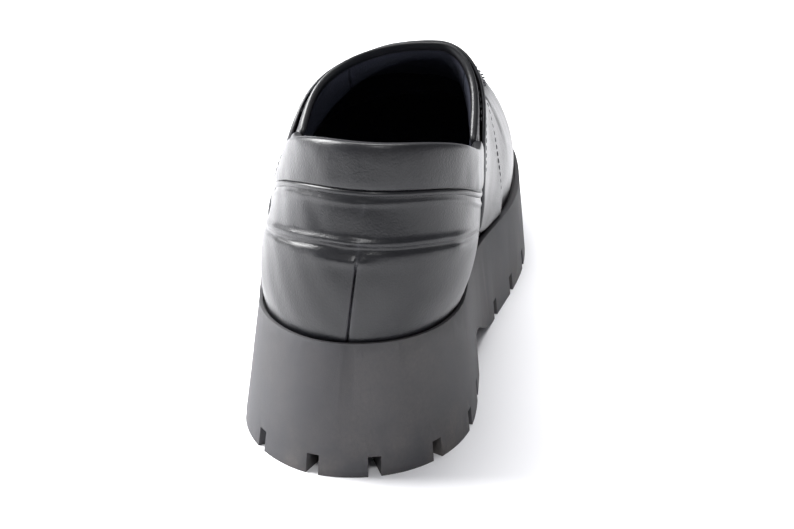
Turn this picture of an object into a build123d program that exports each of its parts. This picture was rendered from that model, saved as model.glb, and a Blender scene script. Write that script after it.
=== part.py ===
# Penny loafer for the left foot: a slip-on leather shoe on a thick lugged rubber sole.
# The upper is made of thin panels that follow one last, and the bottom unit is stacked beneath it.
# Frame, in millimetres: +Z up from the ground, +Y from heel to toe, +X towards the big-toe side.
# The origin is on the ground, under the middle of the sole.
import math
import os

from build123d import *

os.makedirs("parts", exist_ok=True)

# ---- driving dimensions: the last, which is the space inside the lining ----
last_length = 256.0
heel_half_width = 28.5          # half the width of the heel seat
heel_widest_y = 42.0            # from the back of the heel to its widest place
ball_half_medial = 38.5         # big-toe side, from the heel's axis
ball_half_lateral = 42.5        # little-toe side
ball_medial_y = 184.0
ball_lateral_y = 168.0
waist_dip_medial = 5.0          # how far the waist draws in between heel and ball
waist_dip_lateral = 1.0
toe_tip_x = 4.0
toe_roundness = 2.3             # 2 is an ellipse, more is squarer
heel_share = 0.19               # share of each side's outline that is heel, and where the toe starts
toe_share = 0.64
heel_reach = 34.0               # from the back of the heel, and from the toe, to the crest's two ends
toe_reach = 40.0
heel_fan_y = 80.0               # ribs fan round the heel behind this and round the toe in front of the next
toe_fan_length = 84.0

# heights above the ground at distances from the back of the heel
seat_heights = [(-20, 45.5), (0, 44), (45, 41.5), (100, 35), (150, 30.5), (190, 30), (230, 32), (285, 37)]
crest_heights = [(20, 152), (80, 150), (100, 136), (121, 107), (150, 94), (184, 78), (204, 70.5), (216, 67.5), (228, 67)]
topline_heights = [(-20, 115.5), (0, 114.5), (20, 108.5), (45, 97.5), (70, 88.5), (92, 83)]
crest_shifts = [(20, 0), (60, 1), (125, 12), (184, 6), (216, 4)]
arch_squareness = [(20, 4.0), (90, 3.2), (130, 2.05), (184, 2.25), (216, 2.5)]
# how far the upper swells above the sole, and the height over which it does
bulges = [(0, 4.0), (50, 4.2), (110, 1.8), (184, 1.2), (256, 1.6)]
bulge_heights = [(0, 62), (90, 56), (150, 42), (216, 28)]
leans = [(0, 0.11), (90, 0.11), (150, 0.04), (200, 0.0)]    # towards the big-toe side, per height above the seat

# ---- driving dimensions: thicknesses of the upper's layers ----
lining_thickness = 1.0
stiffener_thickness = 1.0
leather_thickness = 1.5
layer_gap = 0.2                 # left between curved layers that touch
strap_gap = 0.5                 # the strap and the seam's roll stand a little off the leather under them
seam_gap = 0.3                  # left between panels that meet edge to edge
seam_turn = 0.60                # how far up a rib the moccasin seam lies, 0 at the sole and 1 at the crest
collar_height = 17.0
collar_foam_thickness = 2.5
counter_drop = 16.0             # the heel counter ends this far below the collar
counter_end_y = 72.0
grip_height = 34.0
grip_end_y = 34.0
puff_start_y = 205.0
seam_roll_width = 3.2

# ---- driving dimensions: the opening, the strap and the tongue ----
throat_top_y = 121.0            # the throat's highest point, on the crest
throat_low_y = 93.0             # where collar and throat meet at the side
throat_bow = 1.5                # how far the throat's side edge bows below a straight line
quarter_foot_y = 112.0          # where the quarter's front edge meets the sole
strap_setback = 7.0             # how much of vamp and tongue shows between the opening and the strap
strap_width = 30.0              # along the crest
strap_foot_width = 40.0         # at the sole
tongue_overlap = 10.0           # how far the strap reaches over the seam of tongue and apron
slot_length = 27.0
slot_width = 3.6
slot_eye_radius = 2.6

# ---- driving dimensions: the bottom unit ----
rim_margin = 7.2                # the sole's top edge stands this far outside the last
rim_height = 2.0
rim_clearance = 1.8
seat_clearance = 0.2            # between the upper's lower edge and the sole's seat
heel_flare = 5.0
toe_flare = 3.0
toe_spring = 9.0
toe_spring_start_y = 196.0
heel_breast_y = 74.0
arch_end_y = 122.0
arch_height = 14.0
tread_depth = 7.0
tread_floor = 7.0               # rubber between the tread's grooves and the cores
ledge_width = 4.0               # the seat's edge inside the last's outline, where the upper is cemented
notch_width = 4.5
notch_length = 15.0
notch_pitch = 25.0
field_inset = 12.0
cross_length = 17.0
cross_width = 6.0
cross_pitch = 23.0
filler_thickness = 1.5
board_thickness = 2.0
footbed_thickness = 3.6
sock_thickness = 1.0
inner_clearance = 0.4           # between the insole layers and the lining
core_clearance = 0.2
shank_width = 14.0
shank_thickness = 1.4
shank_start_y = 28.0
shank_end_y = 138.0
shank_x = 1.0
heel_pad_length = 52.0
heel_pad_width = 40.0
heel_pad_y = 38.0
heel_pad_thickness = 2.0
rib_points = 9
arch_points = 8
arch_spacing = 9.0
tall = 200.0                    # longer than any piece, for cutting tools

# lifts: distances outwards from the last to each layer's inner and outer face
lining_lift = (0.0, lining_thickness)
stiffener_lift = (lining_lift[1] + layer_gap, lining_lift[1] + layer_gap + stiffener_thickness)
leather_lift = (stiffener_lift[1] + layer_gap, stiffener_lift[1] + layer_gap + leather_thickness)
strap_lift = (leather_lift[1] + strap_gap, leather_lift[1] + strap_gap + leather_thickness)
grip_lift = (-layer_gap - lining_thickness, -layer_gap)
foam_lift = (stiffener_lift[0], stiffener_lift[0] + collar_foam_thickness)
collar_lift = (foam_lift[1] + layer_gap, foam_lift[1] + layer_gap + leather_thickness)
strap_rear_y = throat_top_y + strap_setback
strap_front_y = strap_rear_y + strap_width
tongue_end_y = strap_front_y - tongue_overlap
tread_margin = rim_margin + heel_flare
toe_margin = rim_margin + toe_flare
centre_x = (ball_half_medial - ball_half_lateral) / 2
centre_y = (last_length + toe_margin - tread_margin) / 2
filler_top = filler_thickness
board_top = filler_top + layer_gap + board_thickness
footbed_top = board_top + layer_gap + footbed_thickness
sock_top = footbed_top + layer_gap + sock_thickness


# ---- curves and the last's surface ----
def through(stations, y):
    """Value at y of a smooth curve through the stations, level beyond its ends."""
    if y <= stations[0][0]:
        return stations[0][1]
    if y >= stations[-1][0]:
        return stations[-1][1]
    i = max(k for k in range(len(stations) - 1) if stations[k][0] <= y)

    def slope(k):
        before, after = stations[max(k - 1, 0)], stations[min(k + 1, len(stations) - 1)]
        return (after[1] - before[1]) / (after[0] - before[0])

    (y0, v0), (y1, v1) = stations[i], stations[i + 1]
    run = y1 - y0
    u = (y - y0) / run
    return (
        v0 * (2 * u**3 - 3 * u**2 + 1)
        + slope(i) * run * (u**3 - 2 * u**2 + u)
        + v1 * (3 * u**2 - 2 * u**3)
        + slope(i + 1) * run * (u**3 - u**2)
    )


def power(value, exponent):
    return max(value, 0.0) ** exponent


def outline_point(side, q):
    """The last's outline: side is 1 for the big-toe side or -1, q runs from the heel's back 0 to the toe 1."""
    ball_half, ball_y, dip = (
        (ball_half_medial, ball_medial_y, waist_dip_medial)
        if side > 0
        else (ball_half_lateral, ball_lateral_y, waist_dip_lateral)
    )
    if q <= heel_share:
        turn = math.pi / 2 * q / heel_share
        return side * heel_half_width * math.sin(turn), heel_widest_y * (1 - math.cos(turn))
    if q <= toe_share:
        u = (q - heel_share) / (toe_share - heel_share)
        ease = u * u * (3 - 2 * u)
        half = heel_half_width + (ball_half - heel_half_width) * ease - dip * math.sin(math.pi * u) ** 2
        return side * half, heel_widest_y + (ball_y - heel_widest_y) * u
    turn = math.pi / 2 * (q - toe_share) / (1 - toe_share)
    across = power(math.cos(turn), 2 / toe_roundness)
    along = power(math.sin(turn), 2 / toe_roundness)
    return toe_tip_x + (side * ball_half - toe_tip_x) * across, ball_y + (last_length - ball_y) * along


def share_at(side, y):
    """The q at which one side's outline reaches y."""
    low, high = 0.0, 1.0
    for _ in range(40):
        middle = (low + high) / 2
        if outline_point(side, middle)[1] < y:
            low = middle
        else:
            high = middle
    return (low + high) / 2


def crest_y(y):
    """How far along the crest a rib ends that starts from the outline at y."""
    if y < heel_fan_y:
        return y + heel_reach * (1 - y / heel_fan_y) ** 2
    toe_fan_y = last_length - toe_fan_length
    if y > toe_fan_y:
        return y - toe_reach * ((y - toe_fan_y) / toe_fan_length) ** 2
    return y


class Rib:
    """One rib of the last: an upright half-arch from the outline to the crest."""

    def __init__(self, side, q):
        x, y = outline_point(side, q)
        self.end_y = crest_y(y)
        end_x = through(crest_shifts, self.end_y)
        self.reach = math.hypot(end_x - x, self.end_y - y)
        self.inward = ((end_x - x) / self.reach, (self.end_y - y) / self.reach)
        self.foot = (x, y)
        self.seat = through(seat_heights, y)
        self.rise = through(crest_heights, self.end_y) - self.seat
        self.exponent = 2 / through(arch_squareness, self.end_y)
        self.bulge = through(bulges, y)
        self.bulge_height = through(bulge_heights, y)
        self.lean = through(leans, y)

    def plane(self):
        """The leaning plane the rib lies in, its first axis running inwards along the seat."""
        ex, ey = self.inward
        origin = (self.foot[0] - centre_x, self.foot[1] - centre_y, self.seat)
        return Plane(origin=origin, x_dir=(ex, ey, 0), z_dir=(ey, -ex, -self.lean * ey))

    def on_plane(self, t, lift):
        """A point of the rib in its plane's own two directions."""
        a, z = self.point(t, lift)
        ex, ey = self.inward
        height = z - self.seat
        return a + self.lean * ex * height, height * math.hypot(1.0, self.lean * ey)

    def bare(self, t):
        turn = math.pi / 2 * t
        height = self.rise * power(math.sin(turn), self.exponent)
        inset = self.reach * (1 - power(math.cos(turn), self.exponent))
        u = min(1.0, height / self.bulge_height)
        return inset - self.bulge * 6.75 * u * (1 - u) ** 2, self.seat + height

    def point(self, t, lift):
        """Inset and height, at t from the sole 0 to the crest 1, lifted off the last."""
        step = 1e-3
        a0, z0 = self.bare(max(t - step, 0.0))
        a1, z1 = self.bare(min(t + step, 1.0))
        run = math.hypot(a1 - a0, z1 - z0)
        a, z = self.bare(t)
        return a - lift * (z1 - z0) / run, z + lift * (a1 - a0) / run

    def turn_at(self, height):
        """The t at which the rib reaches a height above the ground."""
        share = power(min((height - self.seat) / self.rise, 1.0), 1 / self.exponent)
        return math.asin(min(share, 1.0)) / (math.pi / 2)

    def place(self, t, lift):
        a, z = self.point(t, lift)
        return self.foot[0] + a * self.inward[0] + self.lean * (z - self.seat), self.foot[1] + a * self.inward[1], z


def spread(first, last, count):
    return [first + (last - first) * i / (count - 1) for i in range(count)]


def around_toe(start_medial, start_lateral, count):
    """Ribs from a q on the big-toe side, round the toe, to a q on the little-toe side."""
    ribs = [Rib(1, q) for q in spread(start_medial, 1.0, count)]
    return ribs + [Rib(-1, q) for q in reversed(spread(start_lateral, 1.0, count)[:-1])]


def panel_section(rib, lifts, low, high):
    """A thin upright section between two layers' faces, from t low to t high on one rib."""
    turns = spread(low, high, rib_points)
    with BuildSketch(rib.plane()) as section:
        with BuildLine():
            inner = Spline(*[rib.on_plane(t, lifts[0]) for t in turns])
            outer = Spline(*[rib.on_plane(t, lifts[1]) for t in turns])
            Line(inner @ 0, outer @ 0)
            Line(inner @ 1, outer @ 1)
        make_face()
    return section.sketch


def arch_turns(y, lift, side, low, count):
    """Points of one side's half-arch in the upright plane at y, from t low up to the crest or the toe's rib."""
    tip = Rib(side, 1.0)
    high = 1.0
    if y > tip.place(1.0, lift)[1]:
        floor, ceiling = low, 1.0
        for _ in range(30):
            middle = (floor + ceiling) / 2
            if tip.place(middle, lift)[1] > y:
                floor = middle
            else:
                ceiling = middle
        high = (floor + ceiling) / 2
    points = []
    for t in spread(low, high, count):
        near, far = 0.2, 1.0
        for _ in range(30):
            middle = (near + far) / 2
            if Rib(side, middle).place(t, lift)[1] < y:
                near = middle
            else:
                far = middle
        x, _, z = Rib(side, (near + far) / 2).place(t, lift)
        points.append((x - centre_x, z))
    return points


def arch_section(y, lifts, low, count=arch_points):
    """A thin arch in the upright plane at y, from one side's t low over the crest to the other's."""
    faces = []
    for lift in lifts:
        medial = arch_turns(y, lift, 1, low, count)
        lateral = arch_turns(y, lift, -1, low, count)
        faces.append(medial + lateral[-2::-1])
    plane = Plane(origin=(0, y - centre_y, 0), x_dir=(1, 0, 0), z_dir=(0, -1, 0))
    with BuildSketch(plane) as section:
        with BuildLine():
            inner = Spline(*faces[0])
            outer = Spline(*faces[1])
            Line(inner @ 0, outer @ 0)
            Line(inner @ 1, outer @ 1)
        make_face()
    return section.sketch


def side_points(pairs):
    """Points (y, z) measured from the back of the heel, moved to the frame for a sketch on Plane.YZ."""
    return [(y - centre_y, z) for y, z in pairs]


def outline_points(margin_heel, margin_toe, count=14):
    """The last's outline grown by a margin that changes from heel to toe, as points in the frame."""
    loop = [(1, q) for q in spread(0.0, 1.0, count)] + [(-1, q) for q in spread(1.0, 0.0, count)[1:-1]]
    points = []
    for side, q in loop:
        x, y = outline_point(side, q)
        step = 1e-3
        back = outline_point(side, q - step) if q > step else outline_point(-side, step)
        ahead = outline_point(side, q + step) if q < 1 - step else outline_point(-side, 1 - step)
        if q in (0.0, 1.0):
            nx, ny = 0.0, (-1.0 if q == 0.0 else 1.0)
        else:
            tx, ty = ahead[0] - back[0], ahead[1] - back[1]
            run = math.hypot(tx, ty)
            nx, ny = side * ty / run, -side * tx / run
        share = min(max(y / last_length, 0.0), 1.0)
        margin = margin_heel + (margin_toe - margin_heel) * share
        points.append((x + nx * margin - centre_x, y + ny * margin - centre_y))
    return points


def outline_sketch(height, margin_heel, margin_toe):
    """A closed sketch of the grown outline at a height."""
    with BuildSketch(Plane.XY.offset(height)) as sketch:
        with BuildLine():
            Spline(*outline_points(margin_heel, margin_toe), periodic=True)
        make_face()
    return sketch.sketch


def profile(stations, rise, first, last, count=19):
    """Points of a height curve, raised, for a sketch on Plane.YZ."""
    return side_points([(y, through(stations, y) + rise) for y in spread(first, last, count)])


def band_between(low, high, first=-25.0, last=None, half_width=tall / 2):
    """A block across the shoe between two surfaces that follow the seat, low and high above it."""
    last = last_length + 25.0 if last is None else last
    with BuildPart() as block:
        with BuildSketch(Plane.YZ):
            with BuildLine():
                under = Spline(*profile(seat_heights, low, first, last))
                over = Spline(*profile(seat_heights, high, first, last))
                Line(under @ 0, over @ 0)
                Line(under @ 1, over @ 1)
            make_face()
        extrude(amount=half_width, both=True)
    return block.part


def throat_line():
    """The side view of the opening's edge, from behind the heel to above the throat."""
    back = [(y, through(topline_heights, y)) for y in (-20, 0, 20, 45, 70)]
    top = through(crest_heights, throat_top_y) + leather_lift[1] + 2
    low = through(topline_heights, throat_low_y)
    rise = [
        (throat_low_y + (throat_top_y - throat_low_y) * u, low + (top - low) * u - throat_bow * 4 * u * (1 - u))
        for u in (0.0, 0.33, 0.67, 1.0)
    ]
    return back + rise


with BuildPart() as above_opening:
    with BuildSketch(Plane.YZ):
        with BuildLine():
            edge = Spline(*side_points(throat_line()))
            Polyline(edge @ 1, (throat_top_y - centre_y, tall), (-tall, tall), (-tall, (edge @ 0).Y), edge @ 0)
        make_face()
    extrude(amount=tall / 2, both=True)

below_seat = band_between(-tall, 0.0)
below_rim = band_between(-tall, rim_height + layer_gap)

quarter_edge = Plane(
    origin=(0, quarter_foot_y - centre_y, through(seat_heights, quarter_foot_y)),
    x_dir=(1, 0, 0),
    z_dir=Vector(
        0,
        through(topline_heights, throat_low_y) - through(seat_heights, quarter_foot_y),
        quarter_foot_y - throat_low_y,
    ),
)


def seat(y):
    return through(seat_heights, y)


def topline(y):
    return through(topline_heights, y)


def collar_foot(y):
    return topline(y) - collar_height


def rear_wall(first, last, lifts, low, high, count=9):
    """Sections round the heel between two q, negative on the little-toe side, with edges at low and high of y."""
    sections = []
    for q in spread(first, last, count):
        rib = Rib(1 if q >= 0 else -1, abs(q))
        y = rib.foot[1]
        sections.append(panel_section(rib, lifts, rib.turn_at(low(y)), rib.turn_at(high(y))))
    return sections


def write(piece, label):
    piece.part.label = label
    export_step(piece.part, f"parts/{label}.step")


# ---- the upper: leather ----
wing_start = throat_low_y - 3
seam_low = seam_turn + 0.012    # the apron starts this far up a rib, just above the vamp
back_seam_q = 0.0012            # half the gap of the seam down the heel's back
medial_front = share_at(1, quarter_foot_y + 6)
lateral_front = share_at(-1, quarter_foot_y + 6)
whole_heel = (-share_at(-1, throat_low_y + 9), share_at(1, throat_low_y + 9))

with BuildPart() as vamp:
    walls = around_toe(share_at(1, wing_start), share_at(-1, wing_start), 11)
    loft([panel_section(rib, leather_lift, 0.0, seam_turn) for rib in walls])
    split(bisect_by=quarter_edge.offset(seam_gap), keep=Keep.TOP)
    add(above_opening.part, mode=Mode.SUBTRACT)
    add(below_seat, mode=Mode.SUBTRACT)
write(vamp, "vamp")

for name, first_q, last_q in (
    ("quarter_medial", back_seam_q, medial_front),
    ("quarter_lateral", -lateral_front, -back_seam_q),
):
    with BuildPart() as quarter:
        loft(rear_wall(first_q, last_q, leather_lift, seat, lambda y: collar_foot(y) - seam_gap))
        split(bisect_by=quarter_edge, keep=Keep.BOTTOM)
        add(below_seat, mode=Mode.SUBTRACT)
    write(quarter, name)

with BuildPart() as collar_band:
    loft(rear_wall(*whole_heel, collar_lift, collar_foot, topline, 17))
    split(bisect_by=quarter_edge, keep=Keep.BOTTOM)
write(collar_band, "collar_band")


def apron_sections(first, lifts):
    """Arches above the moccasin seam, from y first to the rounded front end."""
    tip_y = Rib(1, 1.0).place(seam_turn, lifts[0])[1]
    number = round((tip_y - 14 - first) / arch_spacing)
    ys = spread(first, tip_y - 14, number) + [tip_y - 7, tip_y - 3, tip_y - 1]
    return [arch_section(y, lifts, seam_low) for y in ys]


with BuildPart() as apron:
    loft(apron_sections(tongue_end_y + seam_gap, leather_lift))
write(apron, "apron")

tongue_start_y = throat_low_y + 11
with BuildPart() as tongue:
    loft([arch_section(y, leather_lift, seam_low) for y in spread(tongue_start_y, tongue_end_y, 7)])
    add(above_opening.part, mode=Mode.SUBTRACT)
write(tongue, "tongue")

# the strap lies over the vamp and the tongue, and its ends go down into the sole
strap_top = through(crest_heights, throat_top_y) + strap_lift[1]
corner_z = topline(throat_low_y)
rear_edge = [
    (quarter_foot_y + 2, seat(quarter_foot_y) - 6),
    (throat_low_y + strap_setback + 4, (seat(quarter_foot_y) + corner_z) / 2),
    (throat_low_y + strap_setback + 1, corner_z - 5),
    ((throat_low_y + throat_top_y) / 2 + strap_setback, (corner_z + strap_top) / 2 - throat_bow),
    (strap_rear_y + 3, strap_top + 4),
]
front_edge = [
    (quarter_foot_y + strap_foot_width, seat(quarter_foot_y + strap_foot_width) - 6),
    (quarter_foot_y + strap_foot_width - 3, (seat(quarter_foot_y) + corner_z) / 2),
    (strap_front_y + 2, strap_top + 4),
]
slot_y = (strap_rear_y + strap_front_y) / 2 - centre_y
slot_x = Rib(1, share_at(1, (strap_rear_y + strap_front_y) / 2)).place(1.0, 0.0)[0] - centre_x
with BuildPart() as saddle_strap:
    ys = spread(throat_low_y + 2, strap_front_y + 6, 11)
    loft([arch_section(y, strap_lift, 0.0, 9) for y in ys])
    with BuildSketch(Plane.YZ):
        with BuildLine():
            rear = Spline(*side_points(rear_edge))
            front = Spline(*side_points(front_edge))
            Line(rear @ 0, front @ 0)
            Line(rear @ 1, front @ 1)
        make_face()
    extrude(amount=tall / 2, both=True, mode=Mode.INTERSECT)
    add(below_rim, mode=Mode.SUBTRACT)
    with BuildSketch():
        with Locations((slot_x, slot_y)):
            Rectangle(slot_length, slot_width)
        with Locations((slot_x - slot_length / 2, slot_y), (slot_x + slot_length / 2, slot_y)):
            Circle(slot_eye_radius)
    extrude(amount=tall, mode=Mode.SUBTRACT)
write(saddle_strap, "saddle_strap")


def roll_point(rib):
    """The middle of the raised moccasin seam over one rib."""
    x, y, z = rib.place((seam_turn + seam_low) / 2, leather_lift[1] + strap_gap + seam_roll_width / 2)
    return x - centre_x, y - centre_y, z


roll_start_y = strap_front_y + 3
roll_ribs = around_toe(share_at(1, roll_start_y), share_at(-1, roll_start_y), 7)
with BuildPart() as moc_seam:
    with BuildLine() as roll_path:
        Spline(*[roll_point(rib) for rib in roll_ribs])
    with BuildSketch(Plane(origin=roll_path.line @ 0, z_dir=roll_path.line % 0)):
        Circle(seam_roll_width / 2)
    sweep(path=roll_path.line)
write(moc_seam, "moc_seam")

# ---- the upper: stiffeners, padding and linings ----
with BuildPart() as collar_foam:
    loft(rear_wall(*whole_heel, foam_lift, lambda y: collar_foot(y) + 1, lambda y: topline(y) - 1, 17))
    split(bisect_by=quarter_edge, keep=Keep.BOTTOM)
write(collar_foam, "collar_foam")

with BuildPart() as heel_counter:
    counter_ends = (-share_at(-1, counter_end_y), share_at(1, counter_end_y))
    loft(rear_wall(*counter_ends, stiffener_lift, seat, lambda y: collar_foot(y) - counter_drop, 15))
    add(below_seat, mode=Mode.SUBTRACT)
write(heel_counter, "heel_counter")

with BuildPart() as toe_puff:
    walls = around_toe(share_at(1, puff_start_y), share_at(-1, puff_start_y), 7)
    loft([panel_section(rib, stiffener_lift, 0.0, seam_turn) for rib in walls])
    add(below_seat, mode=Mode.SUBTRACT)
write(toe_puff, "toe_puff")

with BuildPart() as vamp_lining:
    walls = around_toe(share_at(1, wing_start), share_at(-1, wing_start), 11)
    loft([panel_section(rib, lining_lift, 0.0, seam_turn) for rib in walls])
    split(bisect_by=quarter_edge.offset(seam_gap), keep=Keep.TOP)
    add(above_opening.part, mode=Mode.SUBTRACT)
    add(below_seat, mode=Mode.SUBTRACT)
write(vamp_lining, "vamp_lining")

with BuildPart() as apron_lining:
    loft(apron_sections(tongue_start_y, lining_lift))
    add(above_opening.part, mode=Mode.SUBTRACT)
write(apron_lining, "apron_lining")

for name, first_q, last_q in (
    ("quarter_lining_medial", back_seam_q, medial_front),
    ("quarter_lining_lateral", -lateral_front, -back_seam_q),
):
    with BuildPart() as quarter_lining:
        loft(rear_wall(first_q, last_q, lining_lift, seat, topline))
        split(bisect_by=quarter_edge, keep=Keep.BOTTOM)
        add(below_seat, mode=Mode.SUBTRACT)
    write(quarter_lining, name)

grip_foot = sock_top + 1.0
with BuildPart() as heel_grip:
    grip_ends = (-share_at(-1, grip_end_y), share_at(1, grip_end_y))
    loft(
        rear_wall(
            *grip_ends, grip_lift, lambda y: seat(y) + grip_foot, lambda y: seat(y) + grip_foot + grip_height, 11
        )
    )
write(heel_grip, "heel_grip")

# ---- tools for the insole layers and the sole ----


def plan_prism(margin_heel, margin_toe):
    """An upright block with the last's outline, grown by a margin."""
    with BuildPart() as block:
        add(outline_sketch(0, margin_heel, margin_toe))
        extrude(amount=tall / 2)
    return block.part


def insole_layer(low, high):
    """A sheet that follows the seat inside the lining, between two heights above the seat."""
    sheet = plan_prism(-inner_clearance, -inner_clearance)
    with BuildPart() as layer:
        add(sheet)
        add(band_between(low, high), mode=Mode.INTERSECT)
    return layer.part


def shank_prism(clearance):
    length = shank_end_y - shank_start_y + 2 * clearance
    with BuildPart() as prism:
        with BuildSketch():
            with Locations((shank_x - centre_x, (shank_start_y + shank_end_y) / 2 - centre_y)):
                SlotOverall(length, shank_width + 2 * clearance, rotation=90)
        extrude(amount=tall / 2)
    return prism.part


def heel_pad_block(clearance, low, high):
    """The heel pad's oval, grown by a clearance, between two heights above the seat."""
    with BuildPart() as block:
        with BuildSketch():
            with Locations((-centre_x, heel_pad_y - centre_y)):
                Ellipse(heel_pad_width / 2 + clearance, heel_pad_length / 2 + clearance)
        extrude(amount=tall / 2)
        add(band_between(low, high), mode=Mode.INTERSECT)
    return block.part


# ---- the insole layers, from the sole up ----
with BuildPart() as shank:
    add(shank_prism(0.0))
    add(band_between(0.0, shank_thickness), mode=Mode.INTERSECT)
write(shank, "shank")

with BuildPart() as bottom_filler:
    add(insole_layer(0.0, filler_top))
    add(shank_prism(core_clearance), mode=Mode.SUBTRACT)
write(bottom_filler, "bottom_filler")

with BuildPart() as insole_board:
    add(insole_layer(filler_top + layer_gap, board_top))
write(insole_board, "insole_board")

pad_foot = footbed_top - heel_pad_thickness
with BuildPart() as footbed:
    add(insole_layer(board_top + layer_gap, footbed_top))
    add(heel_pad_block(core_clearance, pad_foot, footbed_top + 5), mode=Mode.SUBTRACT)
write(footbed, "footbed")

with BuildPart() as heel_pad:
    add(heel_pad_block(0.0, pad_foot + layer_gap, footbed_top))
write(heel_pad, "heel_pad")

with BuildPart() as sock_liner:
    add(insole_layer(footbed_top + layer_gap, sock_top))
write(sock_liner, "sock_liner")

# ---- the bottom unit ----
flare_top = 60.0                # the sole's sides are ruled from the ground to this height
beyond = 12.0                   # how far side-view tools reach past the sole's ends
sole_back_y = -tread_margin
sole_front_y = last_length + toe_margin


def underside_lines(raise_by):
    """The sole's underside in side view, raised: heel, breast, arch, forefoot and toe spring."""
    spring_run = sole_front_y - toe_spring_start_y
    spring_end = toe_spring * ((spring_run + beyond) / spring_run) ** 2
    back, breast, step, arch, ball, toe = side_points([
        (sole_back_y - beyond, raise_by),
        (heel_breast_y, raise_by),
        (heel_breast_y + 3, raise_by + arch_height),
        (arch_end_y, raise_by),
        (toe_spring_start_y, raise_by),
        (sole_front_y + beyond, raise_by + spring_end),
    ])
    Line(back, breast)
    Line(breast, step)
    Spline(step, arch, tangents=[(1, -0.05), (1, -0.1)])
    Line(arch, ball)
    Spline(ball, toe, tangents=[(1, 0), (1, 2 * spring_end / (spring_run + beyond))])
    return back, toe


with BuildPart() as side_shape:
    with BuildSketch(Plane.YZ):
        with BuildLine():
            back, toe = underside_lines(0.0)
            top = Spline(*profile(seat_heights, rim_height, sole_back_y - beyond, sole_front_y + beyond))
            Line(back, top @ 0)
            Line(toe, top @ 1)
        make_face()
    extrude(amount=tall / 2, both=True)

with BuildPart() as tread_zone:
    with BuildSketch(Plane.YZ):
        with BuildLine():
            back, toe = underside_lines(tread_depth)
            corner = (toe[0], -tread_depth)
            Polyline(back, (back[0], -tread_depth), corner, toe)
        make_face()
    extrude(amount=tall / 2, both=True)


def edge_places(side):
    """Middles of the notches along one side of the tread, with the direction across the edge in degrees."""
    samples = 90
    loop = outline_points(tread_margin, toe_margin, samples)
    loop = loop[:samples] if side > 0 else [loop[0]] + loop[: samples - 2 : -1]
    lengths = [0.0]
    for (x0, y0), (x1, y1) in zip(loop, loop[1:]):
        lengths.append(lengths[-1] + math.hypot(x1 - x0, y1 - y0))
    number = round(lengths[-1] / notch_pitch)
    places = []
    for k in range(number):
        target = lengths[-1] * (k + 0.5) / number
        i = max(j for j in range(len(loop) - 1) if lengths[j] <= target)
        (x0, y0), (x1, y1) = loop[i], loop[i + 1]
        places.append(((x0 + x1) / 2, (y0 + y1) / 2, math.degrees(math.atan2(y1 - y0, x1 - x0)) + 90))
    return places


def on_tread(y):
    """Whether a place stands on the heel or the forefoot and not at the arch."""
    return y + centre_y < heel_breast_y - notch_width or y + centre_y > arch_end_y + notch_width


# the inner field of each tread is cut away but for rows of crosses
field_margin = tread_margin - field_inset
with BuildPart() as grooves:
    with BuildSketch(Plane.XY.offset(-tread_depth)):
        add(outline_sketch(0, field_margin, field_margin - heel_flare + toe_flare))
        heel_field_end = heel_breast_y - 9
        forefoot_field_start = arch_end_y + 9
        with Locations((0, (heel_field_end + forefoot_field_start) / 2 - centre_y)):
            Rectangle(tall, forefoot_field_start - heel_field_end, mode=Mode.SUBTRACT)
        with GridLocations(cross_pitch, cross_pitch, 4, 13):
            Rectangle(cross_length, cross_width, mode=Mode.SUBTRACT)
            Rectangle(cross_width, cross_length, mode=Mode.SUBTRACT)
        for side in (1, -1):
            for x, y, angle in edge_places(side):
                if on_tread(y):
                    with Locations(Location((x, y, 0), (0, 0, angle))):
                        Rectangle(2 * notch_length, notch_width)
    extrude(amount=2 * tread_depth + toe_spring * 2)
    add(tread_zone.part, mode=Mode.INTERSECT)


def core_block(first_y, last_y, clearance):
    """A foam core or its cavity, under the seat between two distances from the back of the heel."""
    inside = outline_sketch(0, -ledge_width - clearance, -ledge_width - clearance)
    with BuildPart() as block:
        with BuildSketch(Plane.XY.offset(tread_depth + tread_floor + clearance)):
            add(inside)
            with Locations((0, (first_y + last_y) / 2 - centre_y)):
                Rectangle(tall, last_y - first_y - 2 * clearance, mode=Mode.INTERSECT)
        extrude(amount=tall / 2)
        add(band_between(-tall / 2, -seat_clearance - layer_gap), mode=Mode.INTERSECT)
    return block.part


heel_core_range = (0.0, heel_breast_y - 10)
forefoot_core_range = (arch_end_y + 6, last_length - 34)
recess_margin = leather_lift[1] + rim_clearance
recess_plan = plan_prism(recess_margin, recess_margin)
with BuildPart() as recess:
    add(recess_plan)
    add(band_between(-seat_clearance, tall / 2), mode=Mode.INTERSECT)
cavities = [core_block(*core_range, 0.0) for core_range in (heel_core_range, forefoot_core_range)]
sides = [
    outline_sketch(0, tread_margin, toe_margin),
    outline_sketch(
        flare_top,
        tread_margin - heel_flare * flare_top / seat(0),
        toe_margin - toe_flare * flare_top / seat(toe_spring_start_y),
    ),
]

with BuildPart() as outsole:
    loft(sides)
    add(side_shape.part, mode=Mode.INTERSECT)
    add(recess.part, mode=Mode.SUBTRACT)
    for cavity in cavities:
        add(cavity, mode=Mode.SUBTRACT)
    add(grooves.part, mode=Mode.SUBTRACT)
write(outsole, "outsole")

for name, core_range in (("heel_core", heel_core_range), ("forefoot_core", forefoot_core_range)):
    with BuildPart() as core:
        add(core_block(*core_range, core_clearance))
    write(core, name)
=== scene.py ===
# Black penny loafer for the left foot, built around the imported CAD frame.
# The dictionaries hold millimetres on the last; everything placed in Blender is in metres.
import math

import bmesh
import bpy
import numpy as np
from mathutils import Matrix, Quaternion, Vector


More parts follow.
